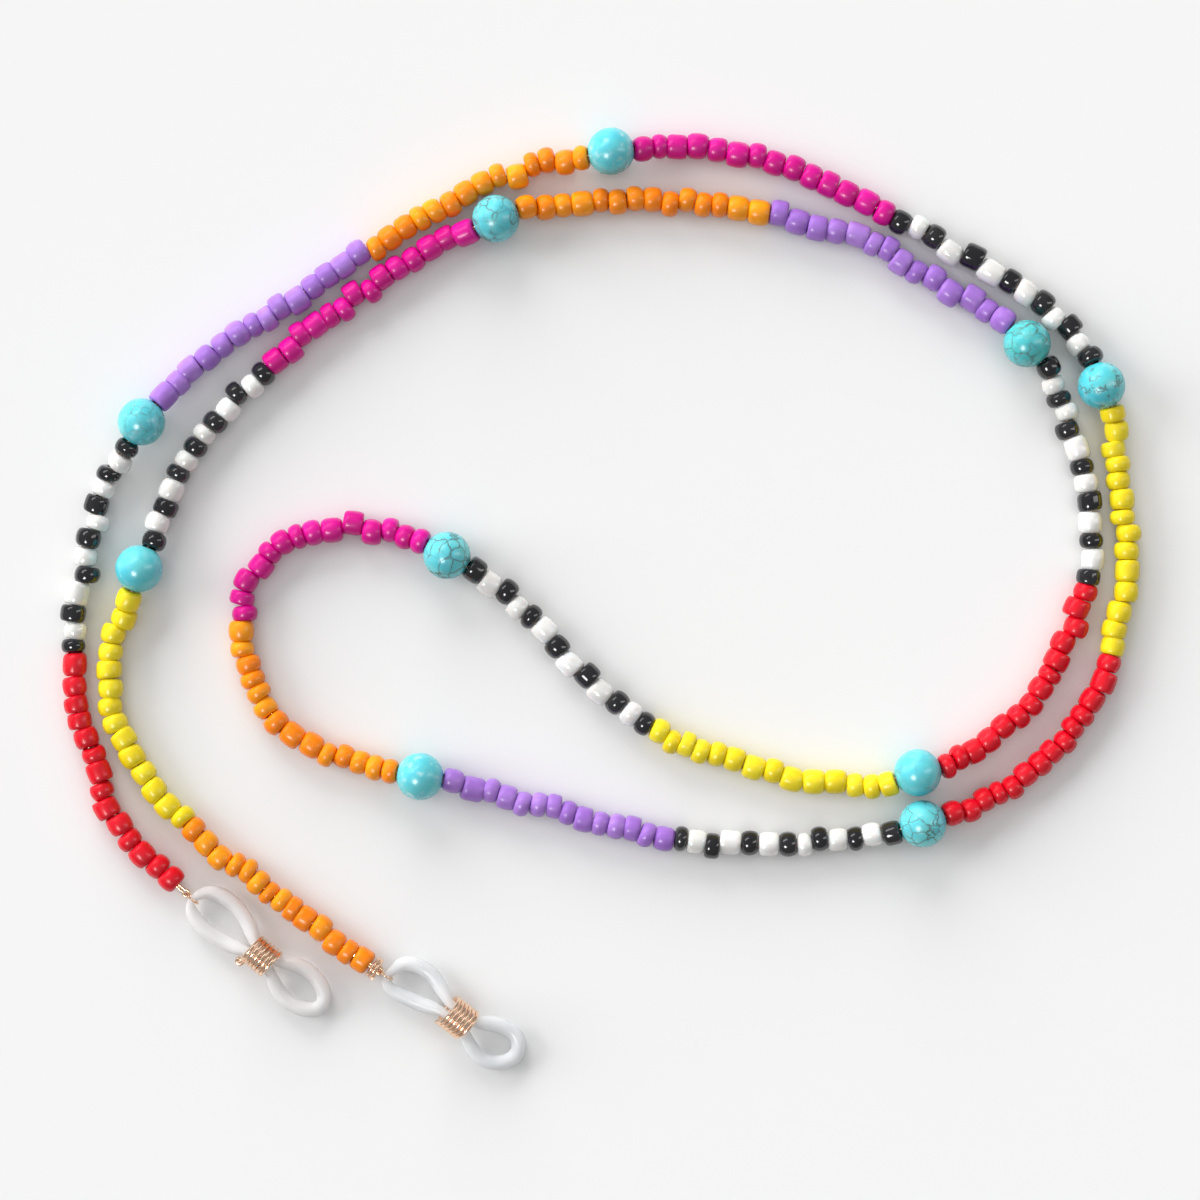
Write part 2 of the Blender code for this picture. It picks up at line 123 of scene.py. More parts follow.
# Each softbox's place, its width and height, and its power
SOFTBOXES = [
    ((-0.26, -0.28, 0.58), (0.20, 0.20), 2.4),
    ((-0.30, 0.42, 0.46), (0.50, 0.16), 0.9),
    ((0.52, 0.10, 0.40), (0.16, 0.50), 0.7),
]
for place, (width, height), watts in SOFTBOXES:
    bpy.ops.object.light_add(type="AREA", location=place)
    softbox = bpy.context.object
    softbox.data.shape = "RECTANGLE"
    softbox.data.size = width
    softbox.data.size_y = height
    softbox.data.energy = watts
    softbox.data.use_shadow = False
    softbox.visible_diffuse = False
    softbox.visible_transmission = False
    softbox.rotation_mode = "QUATERNION"
    softbox.rotation_quaternion = (-Vector(place)).to_track_quat("-Z", "Y")

# ---------------------------------------------------------------------------------------------
# The stringing wire is one fine gold-coloured wire through every bead and stone. It lies in two
# turns of a spiral, low between the seed beads' walls, and climbs to the middle of each stone.

WIRE_RADIUS = 0.17 * MM
SEED_RADIUS = 1.52 * MM
STONE_RADIUS = 2.95 * MM
STONE_SEAT = 2.82 * MM
TOUCH_GAP = 0.30 * MM
RISE_LENGTH = 9.0 * MM
SAMPLE_STEP = 0.25 * MM
WIRE_STEP = 1.2 * MM
MIDDLE = Vector((-0.024, -0.004)) * MM
UP = Vector((0.0, 0.0, 1.0))

# From end A to end B, in millimetres. Each stretch after the first starts at a stone.
ROUTE = [
    [(-52.8, -35.7), (-59.4, -28.8), (-64.0, -18.5), (-65.7, -7.0), (-64.3, 4.5), (-61.5, 14.5)],
    [(-57.2, 22.1), (-44.5, 33.5), (-30.0, 43.0), (-15.5, 51.5)],
    [(1.4, 55.9), (19.0, 55.5), (35.5, 48.5), (50.5, 40.0), (57.2, 35.0)],
    [(62.4, 26.8), (65.5, 10.5), (64.0, -6.5), (55.0, -20.5)],
    [(40.1, -27.9), (26.0, -30.2), (10.0, -29.8), (-3.0, -26.8)],
    [(-22.4, -22.0), (-33.0, -19.5), (-42.0, -13.0), (-45.0, -2.5), (-40.0, 7.0), (-29.5, 9.0)],
    [(-19.0, 5.5), (-8.0, -3.0), (3.5, -14.0), (18.0, -20.6), (31.5, -23.0)],
    [(39.6, -21.5), (51.0, -15.5), (58.5, -5.0), (61.5, 7.5), (59.0, 20.5)],
    [(53.2, 31.9), (46.0, 37.4), (34.5, 44.2), (20.5, 48.4), (4.5, 50.0)],
    [(-13.0, 47.5), (-27.5, 40.0), (-40.0, 30.5), (-51.0, 18.5)],
    [(-57.4, 4.0), (-61.2, -13.0), (-54.0, -25.5), (-42.0, -36.0), (-28.8, -45.6)],
]


def smooth_path(points, closed=False, step=SAMPLE_STEP):
    """A cubic spline through the points, read at even steps along its length."""
    points = np.array(points, float)
    wrap = min(6, len(points)) if closed else 0
    if closed:
        points = np.vstack([points[-wrap:], points, points[: wrap + 1]])
    spans = np.linalg.norm(np.diff(points[:, :3], axis=0), axis=1)
    knots = np.concatenate([[0.0], np.cumsum(spans)])
    count = len(knots)
    system = np.eye(count)
    wanted = np.zeros_like(points)
    for i in range(1, count - 1):
        before, after = spans[i - 1], spans[i]
        system[i, i - 1 : i + 2] = (before, 2 * (before + after), after)
        rise = (points[i + 1] - points[i]) / after - (points[i] - points[i - 1]) / before
        wanted[i] = 6 * rise
    bends = np.linalg.solve(system, wanted)
    first, last = wrap, count - 1 - wrap
    samples = int((knots[last] - knots[first]) / step) + 1
    at = np.linspace(knots[first], knots[last], samples)
    i = np.clip(np.searchsorted(knots, at, side="right") - 1, 0, count - 2)
    span = spans[i][:, None]
    left = (knots[i + 1] - at)[:, None]
    right = (at - knots[i])[:, None]
    path = (bends[i] * left**3 + bends[i + 1] * right**3) / (6 * span)
    path += (points[i] / span - bends[i] * span / 6) * left
    path += (points[i + 1] / span - bends[i + 1] * span / 6) * right
    return path[:-1] if closed else path


route_points = [Vector(p) * MM - MIDDLE for stretch in ROUTE for p in stretch]
thread_path = smooth_path([(p.x, p.y) for p in route_points])
thread_steps = np.linalg.norm(np.diff(thread_path, axis=0), axis=1)
thread_along = np.concatenate([[0.0], np.cumsum(thread_steps)])
thread_length = float(thread_along[-1])
stone_distances = []
for stretch in ROUTE[1:]:
    stone_place = np.array(Vector(stretch[0]) * MM - MIDDLE)
    gaps = np.linalg.norm(thread_path - stone_place, axis=1)
    stone_distances.append(float(thread_along[int(gaps.argmin())]))


def thread_at(distance):
    """The thread's point at a distance from end A."""
    inside = min(max(distance, 0.0), thread_length)
    x = float(np.interp(inside, thread_along, thread_path[:, 0]))
    y = float(np.interp(inside, thread_along, thread_path[:, 1]))
    gap = min(abs(inside - stone) for stone in stone_distances)
    share = 0.5 + 0.5 * math.cos(math.pi * min(gap / RISE_LENGTH, 1.0))
    return Vector((x, y, SEED_RADIUS + (STONE_RADIUS - SEED_RADIUS) * share))


def thread_way(distance):
    """The thread's direction there, towards end B."""
    low = max(distance - SAMPLE_STEP, 0.0)
    high = min(distance + SAMPLE_STEP, thread_length)
    return (thread_at(high) - thread_at(low)).normalized()


# Each stretch's two bead runs, and the share of the stretch that the first one takes
STRETCH_RUNS = [
    ("red", "striped", 0.544),
    ("purple", "orange", 0.520),
    ("magenta", "striped", 0.520),
    ("yellow", "red", 0.508),
    ("striped", "purple", 0.487),
    ("orange", "magenta", 0.501),
    ("striped", "yellow", 0.492),
    ("red", "striped", 0.514),
    ("purple", "orange", 0.514),
    ("magenta", "striped", 0.533),
    ("yellow", "orange", 0.532),
]
STRIPED_RUN = ["black", "white"] * 6 + ["black"]
PLAIN_RUN = ["plain"] * 14
BEAD_SHARES = {"plain": (0.78, 1.22), "black": (0.72, 1.04), "white": (0.84, 1.34)}
BEAD_SEED = 7

# Beads of uneven length fill each run, and two runs fill each stretch between two stones' seats.
share_dice = random.Random(BEAD_SEED)
stretch_edges = [0.0, *stone_distances, thread_length]
bead_runs = []
for number, (first, second, share) in enumerate(STRETCH_RUNS):
    start = stretch_edges[number] + (STONE_SEAT if number > 0 else 0.0)
    end = stretch_edges[number + 1] - (STONE_SEAT if number < len(STRETCH_RUNS) - 1 else 0.0)
    middle = start + share * (end - start)
    for colour, left, right in ((first, start, middle), (second, middle, end)):
        kinds = STRIPED_RUN if colour == "striped" else PLAIN_RUN
        shares = [share_dice.uniform(*BEAD_SHARES[kind]) for kind in kinds]
        marks = [left]
        for bead_share in shares:
            marks.append(marks[-1] + bead_share / sum(shares) * (right - left))
        bead_runs.append((colour, marks))

FLEX_A, FLEX_B = bead_runs[0][1][-1], bead_runs[-1][1][0]


def bend_wire(name, points, radius, radii=None, closed=False, sides=3):
    """Round wire or tube bent along the points, as a curve object."""
    line = bpy.data.curves.new(name, "CURVE")
    line.dimensions = "3D"
    line.bevel_depth = radius
    line.bevel_resolution = sides
    line.use_fill_caps = not closed
    spline = line.splines.new("POLY")
    spline.points.add(len(points) - 1)
    spline.use_cyclic_u = closed
    spline.use_smooth = True
    for i, point in enumerate(points):
        spline.points[i].co = (*point[:3], 1.0)
        spline.points[i].radius = radii[i] / radius if radii is not None else 1.0
    wire = bpy.data.objects.new(name, line)
    bpy.context.scene.collection.objects.link(wire)
    return wire


def as_solid(wire):
    """The bent wire as one closed mesh, with its end caps welded on and shaded smooth."""
    bpy.ops.object.select_all(action="DESELECT")
    wire.select_set(True)
    bpy.context.view_layer.objects.active = wire
    bpy.ops.object.convert(target="MESH")
    bpy.ops.object.mode_set(mode="EDIT")
    bpy.ops.mesh.select_all(action="SELECT")
    bpy.ops.mesh.remove_doubles(threshold=0.000001)
    bpy.ops.mesh.normals_make_consistent(inside=False)
    bpy.ops.object.mode_set(mode="OBJECT")
    bpy.ops.object.shade_smooth_by_angle(angle=math.radians(50))
    return bpy.context.object


def add_node(tree, kind, place, values=()):
    """A shader node at a place in the tree, with some of its sockets set."""
    node = tree.nodes.new(kind)
    node.location = place
    for socket, value in dict(values).items():
        node.inputs[socket].default_value = value
    return node


def drawn_wire_group():
    """A fine grain and a slow tarnish, for every plated wire."""
    group = bpy.data.node_groups.new("drawn_wire", "ShaderNodeTree")
    sockets = group.interface
    sockets.new_socket("Colour", in_out="INPUT", socket_type="NodeSocketColor")
    sockets.new_socket("Tarnish Colour", in_out="INPUT", socket_type="NodeSocketColor")
    for name in ("Roughness", "Tarnish"):
        sockets.new_socket(name, in_out="INPUT", socket_type="NodeSocketFloat")
    sockets.new_socket("Colour", in_out="OUTPUT", socket_type="NodeSocketColor")
    sockets.new_socket("Roughness", in_out="OUTPUT", socket_type="NodeSocketFloat")
    sockets.new_socket("Height", in_out="OUTPUT", socket_type="NodeSocketFloat")
    inside = add_node(group, "NodeGroupInput", (-900, 0))
    outside = add_node(group, "NodeGroupOutput", (500, 0))
    place = add_node(group, "ShaderNodeTexCoord", (-900, -260))
    cloud = add_node(group, "ShaderNodeTexNoise", (-660, -160), {"Scale": 420.0, "Detail": 4.0})
    grain = add_node(group, "ShaderNodeTexNoise", (-660, -420), {"Scale": 5200.0, "Detail": 2.0})
    spread = add_node(
        group, "ShaderNodeMapRange", (-440, -160), {"From Min": 0.45, "From Max": 0.75}
    )
    amount = add_node(group, "ShaderNodeMath", (-240, -160))
    amount.operation = "MULTIPLY"
    tint = add_node(group, "ShaderNodeMix", (0, 60))
    tint.data_type = "RGBA"
    rough = add_node(group, "ShaderNodeMath", (-40, -260), {1: 0.22})
    rough.operation = "MULTIPLY_ADD"
    link = group.links.new
    link(place.outputs["Object"], cloud.inputs["Vector"])
    link(place.outputs["Object"], grain.inputs["Vector"])
    link(cloud.outputs["Fac"], spread.inputs["Value"])
    link(spread.outputs["Result"], amount.inputs[0])
    link(inside.outputs["Tarnish"], amount.inputs[1])
    link(amount.outputs[0], tint.inputs["Factor"])
    link(inside.outputs["Colour"], tint.inputs["A"])
    link(inside.outputs["Tarnish Colour"], tint.inputs["B"])
    link(amount.outputs[0], rough.inputs[0])
    link(inside.outputs["Roughness"], rough.inputs[2])
    link(tint.outputs["Result"], outside.inputs["Colour"])
    link(rough.outputs[0], outside.inputs["Roughness"])
    link(grain.outputs["Fac"], outside.inputs["Height"])
    return group


drawn_wire = drawn_wire_group()


def plated_wire_material(name, colour, tarnish_colour, roughness, tarnish):
    """Polished plated wire, a little duller where it has been handled."""
    paint = bpy.data.materials.new(name)
    paint.use_nodes = True
    tree = paint.node_tree
    shader = tree.nodes["Principled BSDF"]
    shader.inputs["Metallic"].default_value = 1.0
    marks = add_node(tree, "ShaderNodeGroup", (-520, 0))
    marks.node_tree = drawn_wire
    marks.inputs["Colour"].default_value = colour
    marks.inputs["Tarnish Colour"].default_value = tarnish_colour
    marks.inputs["Roughness"].default_value = roughness
    marks.inputs["Tarnish"].default_value = tarnish
    bump = add_node(tree, "ShaderNodeBump", (-240, -260), {"Strength": 0.12, "Distance": 0.00002})
    tree.links.new(marks.outputs["Colour"], shader.inputs["Base Color"])
    tree.links.new(marks.outputs["Roughness"], shader.inputs["Roughness"])
    tree.links.new(marks.outputs["Height"], bump.inputs["Height"])
    tree.links.new(bump.outputs["Normal"], shader.inputs["Normal"])
    return paint


fine_gold_wire = plated_wire_material(
    "fine_gold_wire", (0.82, 0.60, 0.40, 1), (0.42, 0.27, 0.16, 1), 0.18, 0.5
)

wire_start, wire_end = FLEX_A + TOUCH_GAP / 2, FLEX_B - TOUCH_GAP / 2
wire_count = int((wire_end - wire_start) / WIRE_STEP) + 1
wire_points = [thread_at(float(d)) for d in np.linspace(wire_start, wire_end, wire_count)]
stringing_wire = bend_wire("stringing_wire_middle", wire_points, WIRE_RADIUS, sides=1)
stringing_wire.data.materials.append(fine_gold_wire)
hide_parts("stringing_wire")
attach(stringing_wire, "root")

# ---------------------------------------------------------------------------------------------
# The seed beads are short lengths cut from drawn glass cane and tumbled until their rims are
# round. They are uneven: some are thin rings and some are stubby tubes, and none sits quite
# square on the wire. Black beads and milky white ones take turns in the striped runs.

BEAD_SPACING = 0.02 * MM
PLAY_IN_HOLE = 0.50 * MM
PATTERN_LENGTH = 1.30 * MM
LONGEST_ROUND_BEAD = 2.15 * MM
CLEAR_OF_TABLE = 0.02 * MM
# How far the beads' widths, cut ends, tilts in degrees and places in the hole spread
BEAD_WIDTHS, WHITE_SLIMNESS = (1.0, 1.08), 0.96
WEDGE_SPREAD, SKEW_SPREAD = 0.04, 0.05
YAW_SPREAD, DIP_SPREAD = 3.0, 1.2
PLAY_SPREAD = 0.65 * PLAY_IN_HOLE
# Most beads are nearer the plain colour than the light one
TONE_LEAN = 1.5


def bead_pattern(name, radius, hole_radius, rounding):
    """A cylinder with inset ends, bridged into a bore, rounded at its rims, at full width."""
    bpy.ops.mesh.primitive_cylinder_add(vertices=12, radius=radius, depth=PATTERN_LENGTH)
    pattern = bpy.context.object
    pattern.name = name
    bpy.ops.object.mode_set(mode="EDIT")
    shape = bmesh.from_edit_mesh(pattern.data)
    for face in shape.faces:
        face.select_set(abs(face.normal.z) > 0.9)
    bmesh.update_edit_mesh(pattern.data)
    bpy.ops.mesh.inset(thickness=radius - hole_radius)
    bpy.ops.mesh.bridge_edge_loops()
    bpy.ops.mesh.select_all(action="DESELECT")
    bpy.ops.mesh.select_mode(type="EDGE")
    shape = bmesh.from_edit_mesh(pattern.data)
    for edge in shape.edges:
        level = abs(edge.verts[0].co.z - edge.verts[1].co.z) < 0.01 * MM
        edge.select_set(level and all(v.co.xy.length > 0.9 * radius for v in edge.verts))
    bmesh.update_edit_mesh(pattern.data)
    bpy.ops.mesh.bevel(offset=rounding, segments=4, profile=0.5)
    bpy.ops.mesh.select_all(action="SELECT")
    bpy.ops.mesh.normals_make_consistent(inside=False)
    full = SEED_RADIUS / radius
    bpy.ops.transform.resize(value=(full, full, 1.0), center_override=(0, 0, 0))
    bpy.ops.object.mode_set(mode="OBJECT")
    bpy.ops.object.shade_smooth_by_angle(angle=math.radians(70))
    return pattern


# The rounding is cut on a wider cylinder, so that it reaches further along than it does in.
round_bead = bead_pattern("round_bead", 1.75 * MM, 0.72 * MM, 0.61 * MM)
square_bead = bead_pattern("square_bead", 2.10 * MM, 0.86 * MM, 0.45 * MM)
SQUARE_CHANCE = {"black": 0.3, "purple": 0.35, "magenta": 0.35}
USUAL_SQUARE_CHANCE = 0.15


def opaque_glass_group():
    """Cane glass: a slow cloud of a deeper colour, fine pits and each bead's own tone."""
    group = bpy.data.node_groups.new("opaque_glass", "ShaderNodeTree")
    sockets = group.interface
    for name in ("Colour", "Deep Colour", "Light Colour"):
        sockets.new_socket(name, in_out="INPUT", socket_type="NodeSocketColor")
    for name in ("Cloud", "Roughness"):
        sockets.new_socket(name, in_out="INPUT", socket_type="NodeSocketFloat")
    sockets.new_socket("Colour", in_out="OUTPUT", socket_type="NodeSocketColor")
    sockets.new_socket("Roughness", in_out="OUTPUT", socket_type="NodeSocketFloat")
    sockets.new_socket("Height", in_out="OUTPUT", socket_type="NodeSocketFloat")
    inside = add_node(group, "NodeGroupInput", (-1100, 0))
    outside = add_node(group, "NodeGroupOutput", (700, 0))
    place = add_node(group, "ShaderNodeTexCoord", (-1100, -300))
    tone = add_node(group, "ShaderNodeAttribute", (-1100, 260))
    tone.attribute_name = "tone"
    cloud = add_node(group, "ShaderNodeTexNoise", (-860, -200), {"Scale": 620.0, "Detail": 3.0})
    pits = add_node(group, "ShaderNodeTexNoise", (-860, -460), {"Scale": 2600.0, "Detail": 3.0})
    toned = add_node(group, "ShaderNodeMix", (-360, 140))
    toned.data_type = "RGBA"
    shade = add_node(
        group, "ShaderNodeMapRange", (-600, -60), {"From Min": 0.35, "From Max": 0.7}
    )
    clouded = add_node(group, "ShaderNodeMath", (-380, -80))
    clouded.operation = "MULTIPLY"
    final = add_node(group, "ShaderNodeMix", (160, 80))
    final.data_type = "RGBA"
    rough = add_node(group, "ShaderNodeMath", (160, -220), {1: 0.12})
    rough.operation = "MULTIPLY_ADD"
    link = group.links.new
    link(place.outputs["Object"], cloud.inputs["Vector"])
    link(place.outputs["Object"], pits.inputs["Vector"])
    link(tone.outputs["Fac"], toned.inputs["Factor"])
    link(inside.outputs["Colour"], toned.inputs["A"])
    link(inside.outputs["Light Colour"], toned.inputs["B"])
    link(cloud.outputs["Fac"], shade.inputs["Value"])
    link(shade.outputs["Result"], clouded.inputs[0])
    link(inside.outputs["Cloud"], clouded.inputs[1])
    link(clouded.outputs[0], final.inputs["Factor"])
    link(toned.outputs["Result"], final.inputs["A"])
    link(inside.outputs["Deep Colour"], final.inputs["B"])
    link(pits.outputs["Fac"], rough.inputs[0])
    link(inside.outputs["Roughness"], rough.inputs[2])
    link(final.outputs["Result"], outside.inputs["Colour"])
    link(rough.outputs[0], outside.inputs["Roughness"])
    link(pits.outputs["Fac"], outside.inputs["Height"])
    return group


opaque_glass = opaque_glass_group()


# The clear skin is satin on the coloured beads and glassy on the black and the white ones
SATIN_COAT, GLASSY_COAT = 0.16, 0.06


def glass_material(name, colour, deep, light, cloud, roughness, glow=0.0, sheen=0.25, coat=0.3):
    """Opaque bead glass with a polished skin, its colour lit a little from within."""
    paint = bpy.data.materials.new(name)
    paint.use_nodes = True
    tree = paint.node_tree
    shader = tree.nodes["Principled BSDF"]
    shader.inputs["IOR"].default_value = 1.52
    shader.inputs["Specular IOR Level"].default_value = sheen
    shader.inputs["Coat Weight"].default_value = coat
    shader.inputs["Coat Roughness"].default_value = SATIN_COAT if coat < 0.5 else GLASSY_COAT
    shader.inputs["Subsurface Weight"].default_value = glow
    shader.inputs["Subsurface Radius"].default_value = (1.0, 0.7, 0.6)
    shader.inputs["Subsurface Scale"].default_value = 0.0006
    cane = add_node(tree, "ShaderNodeGroup", (-520, 0))
    cane.node_tree = opaque_glass
    cane.inputs["Colour"].default_value = (*colour, 1)
    cane.inputs["Deep Colour"].default_value = (*deep, 1)
    cane.inputs["Light Colour"].default_value = (*light, 1)
    cane.inputs["Cloud"].default_value = cloud
    cane.inputs["Roughness"].default_value = roughness
    bump = add_node(tree, "ShaderNodeBump", (-240, -260), {"Strength": 0.15, "Distance": 0.00003})
    tree.links.new(cane.outputs["Colour"], shader.inputs["Base Color"])
    tree.links.new(cane.outputs["Roughness"], shader.inputs["Roughness"])
    tree.links.new(cane.outputs["Height"], bump.inputs["Height"])
    tree.links.new(bump.outputs["Normal"], shader.inputs["Normal"])
    return paint


bead_glass = {
    "red": glass_material(
        "red_cane_glass", (0.68, 0.0, 0.012), (0.47, 0.0, 0.005), (0.77, 0.004, 0.02), 0.4, 0.28
    ),
    "magenta": glass_material(
        "magenta_cane_glass", (0.61, 0.0, 0.23), (0.42, 0.0, 0.15), (0.71, 0.004, 0.31), 0.4, 0.28
    ),
    "orange": glass_material(
        "orange_cane_glass", (0.90, 0.225, 0.0), (0.78, 0.13, 0.0), (0.94, 0.37, 0.004), 0.4, 0.28
    ),
    "yellow": glass_material(
        "yellow_cane_glass", (0.82, 0.64, 0.008), (0.70, 0.51, 0.0), (0.88, 0.74, 0.02), 0.4, 0.28
    ),
    "purple": glass_material(
        "purple_cane_glass", (0.33, 0.15, 0.57), (0.24, 0.09, 0.44), (0.42, 0.22, 0.67), 0.4, 0.28
    ),
    "black": glass_material(
        "black_cane_glass", (0.010, 0.010, 0.012), (0.004, 0.004, 0.005), (0.02, 0.02, 0.022),
        0.4, 0.05, sheen=0.4, coat=0.6,
    ),
    "white": glass_material(
        "milk_cane_glass", (0.75, 0.745, 0.72), (0.58, 0.565, 0.54), (0.85, 0.85, 0.84),
        0.35, 0.12, glow=0.5, sheen=0.5, coat=0.8,
    ),
}

bead_dice = random.Random(BEAD_SEED + 1)


def string_bead(left, right, kind):
    """One bead between two marks along the thread, with its own width, cut, tilt and tone.

    A bead longer than the longest round one is drawn out in its middle.
    """
    square = bead_dice.random() < SQUARE_CHANCE.get(kind, USUAL_SQUARE_CHANCE)
    pattern = square_bead if square else round_bead
    bead = pattern.copy()
    bead.data = pattern.data.copy()
    bpy.context.scene.collection.objects.link(bead)
    length = right - left - BEAD_SPACING
    stretch = min(length, LONGEST_ROUND_BEAD) / PATTERN_LENGTH
    longer = max(length - LONGEST_ROUND_BEAD, 0.0) / 2
    width = bead_dice.uniform(*BEAD_WIDTHS) * (WHITE_SLIMNESS if kind == "white" else 1.0)
    wedge, skew = bead_dice.gauss(0, WEDGE_SPREAD), bead_dice.gauss(0, SKEW_SPREAD)
    for vertex in bead.data.vertices:
        along = vertex.co.z / (PATTERN_LENGTH / 2)
        end = math.copysign(min(1.0, abs(along) * 4), along)
        vertex.co.z = vertex.co.z * stretch + end * longer
        vertex.co.z += (along * wedge + skew) * vertex.co.x
        vertex.co.x *= width
        vertex.co.y *= width
    middle = (left + right) / 2
    way = thread_way(middle)
    side = way.cross(UP).normalized()
    yaw = Quaternion(UP, math.radians(bead_dice.gauss(0, YAW_SPREAD)))
    dip = Quaternion(side, math.radians(bead_dice.gauss(0, DIP_SPREAD)))
    roll = Quaternion(UP, bead_dice.uniform(0, 2 * math.pi))
    turn = yaw @ dip @ way.to_track_quat("Z", "Y") @ roll
    play = max(-PLAY_IN_HOLE, min(PLAY_IN_HOLE, bead_dice.gauss(0, PLAY_SPREAD)))
    place = thread_at(middle) + side * play
    place.z = max(place.z, SEED_RADIUS * width + CLEAR_OF_TABLE)
    bead.data.transform(Matrix.LocRotScale(place, turn, None))
    tone = bead.data.attributes.new("tone", "FLOAT", "POINT")
    value = bead_dice.random() ** TONE_LEAN
    tone.data.foreach_set("value", [value] * len(bead.data.vertices))
    return bead


def join_beads(beads, name, colour, node, body):
    """One run's beads of one colour as one piece, which rides with its run's body."""
    bpy.ops.object.select_all(action="DESELECT")
    for bead in beads:
        bead.select_set(True)
    bpy.context.view_layer.objects.active = beads[0]
    bpy.ops.object.join()
    run = bpy.context.object
    run.name = name
    run.data.name = name
    run.data.materials.clear()
    run.data.materials.append(bead_glass[colour])
    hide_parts(node)
    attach(run, body)


run_counts = {}
for number, (colour, marks) in enumerate(bead_runs):
    run_counts[colour] = run_counts.get(colour, 0) + 1
    node = f"{colour}_beads_{run_counts[colour]}"
    body = {0: "strand_end_a", len(bead_runs) - 1: "strand_end_b"}.get(number, "root")
    beads = [
        string_bead(left, right, ("black", "white")[i % 2] if colour == "striped" else colour)
        for i, (left, right) in enumerate(zip(marks, marks[1:]))
    ]
    if colour == "striped":
        join_beads(beads[0::2], f"{node}_black", "black", node, body)
        join_beads(beads[1::2], f"{node}_white", "white", node, body)
    else:
        join_beads(beads, f"{node}_glass", colour, node, body)
for pattern in (round_bead, square_bead):
    bpy.data.objects.remove(pattern, do_unlink=True)

# ---------------------------------------------------------------------------------------------
# The turquoise stones are 6 mm rounds, ground, drilled through and polished. Some are clean and
# some carry a dark matrix: a web of cracks, loose dashes or a single dark line.

STONE_HOLE_RADIUS = 0.60 * MM
HOLE_CHAMFER = 0.18 * MM

# A stone's pattern: a sphere whose poles are opened, bridged into a drill hole and chamfered.
bpy.ops.mesh.primitive_uv_sphere_add(segments=40, ring_count=28, radius=STONE_RADIUS)
stone_pattern = bpy.context.object
bpy.ops.object.mode_set(mode="EDIT")
bpy.ops.mesh.select_mode(type="FACE")
shape = bmesh.from_edit_mesh(stone_pattern.data)
for face in shape.faces:
    face.select_set(face.calc_center_median().xy.length < STONE_HOLE_RADIUS)
bmesh.update_edit_mesh(stone_pattern.data)
bpy.ops.mesh.dissolve_faces()
bpy.ops.mesh.bridge_edge_loops()
bpy.ops.mesh.select_all(action="DESELECT")
bpy.ops.mesh.select_mode(type="EDGE")
shape = bmesh.from_edit_mesh(stone_pattern.data)
hole_edge = min(v.co.xy.length for v in shape.verts) * 1.02
for edge in shape.edges:
    level = abs(edge.verts[0].co.z - edge.verts[1].co.z) < 0.01 * MM
    edge.select_set(level and all(v.co.xy.length < hole_edge for v in edge.verts))
bmesh.update_edit_mesh(stone_pattern.data)
bpy.ops.mesh.bevel(offset=HOLE_CHAMFER, segments=2, profile=0.5)
bpy.ops.mesh.select_all(action="SELECT")
bpy.ops.mesh.normals_make_consistent(inside=False)
bpy.ops.object.mode_set(mode="OBJECT")
bpy.ops.object.shade_smooth_by_angle(angle=math.radians(50))


